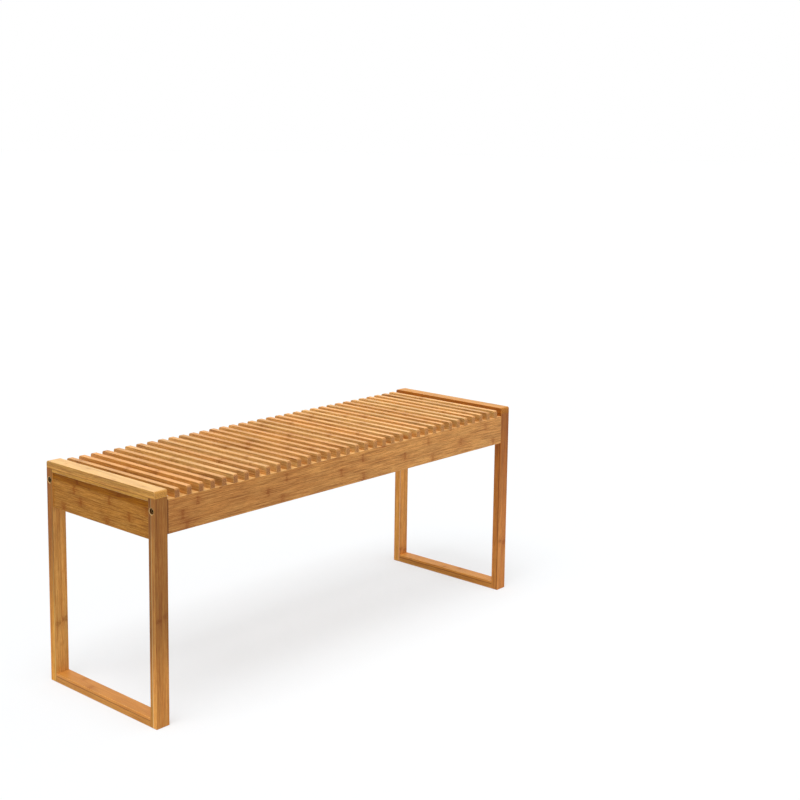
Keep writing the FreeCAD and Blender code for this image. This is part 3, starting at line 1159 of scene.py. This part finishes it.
@dataclass
class SlatRow:
    """The slats across the long aprons."""

    count: int = 35
    tones: Tones = Tones(
        pale=tone(252, 210, 132), ground=tone(238, 185, 108), streak=tone(176, 118, 57),
        knuckle=tone(160, 88, 22), end_pale=tone(222, 158, 92), end_fleck=tone(150, 96, 50),
        painted_sheen_and_wear=tone(239, 185, 121), painted_sheen_share=0.92, ruddy=tone(250, 222, 190),
    )

    def names(self) -> list[str]:
        """Names of the slats, from the left end."""
        return [f"slat_{number:02d}" for number in range(1, self.count + 1)]

    def dress(self) -> None:
        """Give the slats their bamboo, each slat with a tone of its own."""
        first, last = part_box(self.names()[0]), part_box(self.names()[-1])
        pitch = (last[0].x - first[0].x) / (self.count - 1)
        gap = pitch - (first[1].x - first[0].x)
        low = Vector((first[0].x - gap / 2, first[0].y, first[0].z))
        high = Vector((last[1].x + gap / 2, first[1].y, first[1].z))
        cut = Cut(
            Axis.DEPTH, Axis.LENGTH, Axis.HEIGHT, (low, high), (), self.count, 2, (Knuckles(0.0, 0.30),),
            row_gap=gap, fades=(
                # Painted light: the tops darken towards the left end, standing in for light that grows to
                # the right.
                Fade(Axis.LENGTH, 250 * MM, -100 * MM, tone(243, 241, 237), Faces.TOPS),
                Fade(Axis.DEPTH, -120 * MM, -20 * MM, tone(248, 246, 241), Faces.TOPS),
                # Painted shade on the sides of the slats towards the left end, near the cap.
                Fade(Axis.LENGTH, -220 * MM, -460 * MM, tone(241, 231, 211), Faces.EDGES),
                # Painted light: the ends darken towards the left end, as the tops do.
                Fade(Axis.LENGTH, 100 * MM, -480 * MM, tone(225, 216, 214), Faces.ENDS),
                # Painted shade on the sides of the slats near their front ends.
                Fade(Axis.DEPTH, -138 * MM, -156 * MM, tone(228, 229, 233), Faces.EDGES),
            ),
        )
        grain = Grain(
            tone_swing=0.22, hue_swing=0.6, knuckle_share=0.6, fibres=Cells(40 * MM, 0.42 * MM, 2, 0.55),
            bands=Cells(130 * MM, 1.6 * MM, 2, 0.65), dashes=Cells(18 * MM, 0.42 * MM),
        )
        dress(self.names(), Bamboo("oiled_slat_bamboo", cut, self.tones, grain).material())


@dataclass
class Fasteners:
    """Bolts, washers and barrel nuts of steel, and wooden dowels and pins."""

    steel: tuple[str, ...] = ("frame_bolts", "bolt_washers", "barrel_nuts")
    wood: tuple[str, ...] = (
        "apron_dowels", "end_apron_dowels", "floor_rail_dowels", "cap_dowels", "slat_pins",
    )

    def dress(self) -> None:
        """Give the fasteners their materials."""
        dress(self.steel, ZincSteel().material())
        dress(self.wood, DowelWood().material())


@dataclass
class Studio:
    """Floor, surroundings, lamp and camera, none of which belongs to the bench."""

    floor_size: float = 120.0
    floor_gap: float = 0.1 * MM
    floor_colour: Colour = (0.58, 0.58, 0.58, 1.0)
    seen_floor_colour: Colour = (0.825, 0.855, 0.88, 1.0)
    emitted_share: float = 0.545
    surroundings: float = 0.5
    front_lift: float = 0.5
    front: Vector = Vector((0.35, -0.94, 0.0))
    sun_strength: float = 1.2
    sun_spread: float = math.radians(34)
    suns_from: tuple[Vector, ...] = (Vector((-0.5, -0.11, 1.0)), Vector((-0.12, -0.1, 1.0)))
    camera_place: Vector = Vector((-1.9737, -1.9966, 1.0862))
    camera_heading: float = math.radians(41.008)
    camera_dip: float = math.radians(7.844)
    camera_roll: float = math.radians(-0.832)
    sensor: float = 36.0
    image_side: float = 800.0
    focal_pixels: float = 1312.97
    axis_row: float = 318.2

    def build(self) -> None:
        """Build the whole studio."""
        self._floor()
        self._surroundings()
        for source in self.suns_from:
            self._sun(source)
        self._camera()

    def _seen(self, graph: Graph) -> Signal:
        """Find what the camera sees straight, in a reflection or through glass.

        Args:
            graph: Graph to add to.

        Returns:
            1 for that, else 0.
        """
        seen: Value = 0.0
        for ray in ("Is Camera Ray", "Is Glossy Ray", "Is Transmission Ray"):
            seen = graph.node("ShaderNodeLightPath", output=ray) + seen
        return seen.least(1.0)

    def _floor(self) -> None:
        """A wide plain floor that shows white where no shadow lies on it."""
        mesh = bpy.data.meshes.new("floor")
        shape = bmesh.new()
        half, place = self.floor_size / 2, Matrix.Translation((0.0, 0.0, -self.floor_gap))
        bmesh.ops.create_grid(shape, x_segments=1, y_segments=1, size=half, matrix=place)
        shape.to_mesh(mesh)
        shape.free()
        floor = self._place("floor", mesh)
        material, graph = new_material("pale_floor")
        seen = self._seen(graph)
        colour = graph.mix(seen, self.floor_colour, self.seen_floor_colour)
        paint = graph.node("ShaderNodeBsdfDiffuse", None, {"Color": colour})
        white = graph.node("ShaderNodeEmission", None, {"Strength": 1.0})
        inputs = {0: seen * self.emitted_share, 1: paint, 2: white}
        graph.show(graph.node("ShaderNodeMixShader", None, inputs))
        mesh.materials.append(material)

    def _surroundings(self) -> None:
        """White surroundings, which light the front a little more than the back."""
        world = bpy.data.worlds.new("studio")
        world.use_nodes = True
        bpy.context.scene.world = world
        graph = Graph(world.node_tree)
        inputs = {0: graph.node("ShaderNodeTexCoord", output="Generated"), 1: self.front}
        facing = graph.node("ShaderNodeVectorMath", {"operation": "DOT_PRODUCT"}, inputs, "Value")
        light = (facing * self.front_lift + 1.0) * self.surroundings
        seen = self._seen(graph)
        strength = light * (1.0 - seen) + seen
        background = graph.node("ShaderNodeBackground", None, {"Color": WHITE, "Strength": strength})
        graph.node("ShaderNodeOutputWorld", None, {"Surface": background})

    def _sun(self, source: Vector) -> None:
        """Place one of the soft lamps overhead.

        Args:
            source: Direction from which its light comes.
        """
        lamp = bpy.data.lights.new("overhead_softbox", "SUN")
        lamp.energy = self.sun_strength
        lamp.angle = self.sun_spread
        holder = self._place("overhead_softbox", lamp)
        holder.rotation_mode = "QUATERNION"
        holder.rotation_quaternion = source.to_track_quat("Z", "Y")

    def _camera(self) -> None:
        """The camera at the viewing angle of the reference."""
        camera = bpy.data.cameras.new("camera")
        camera.sensor_width = self.sensor
        camera.lens = self.focal_pixels / self.image_side * self.sensor
        camera.shift_y = self.axis_row / self.image_side - 0.5
        holder = self._place("camera", camera)
        turn = Matrix.Rotation(self.camera_heading - math.pi / 2, 4, "Z")
        tilt = Matrix.Rotation(math.pi / 2 - self.camera_dip, 4, "X")
        roll = Matrix.Rotation(-self.camera_roll, 4, "Z")
        holder.matrix_world = Matrix.Translation(self.camera_place) @ turn @ tilt @ roll
        bpy.context.scene.camera = holder

    @staticmethod
    def _place(name: str, data: bpy.types.ID) -> bpy.types.Object:
        """Put new data into the scene as an object.

        Args:
            name: Name of the object.
            data: Its mesh, lamp or camera.

        Returns:
            The object.
        """
        item = bpy.data.objects.new(name, data)
        bpy.context.scene.collection.objects.link(item)
        return item


def main() -> None:
    """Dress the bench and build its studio."""
    logging.basicConfig(level=logging.INFO, format="%(message)s")
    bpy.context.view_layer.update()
    Studio().build()
    EndFrames().dress()
    LongAprons().dress()
    SlatRow().dress()
    Fasteners().dress()
    bpy.context.scene.view_settings.view_transform = "Standard"


if __name__ == "__main__":
    main()
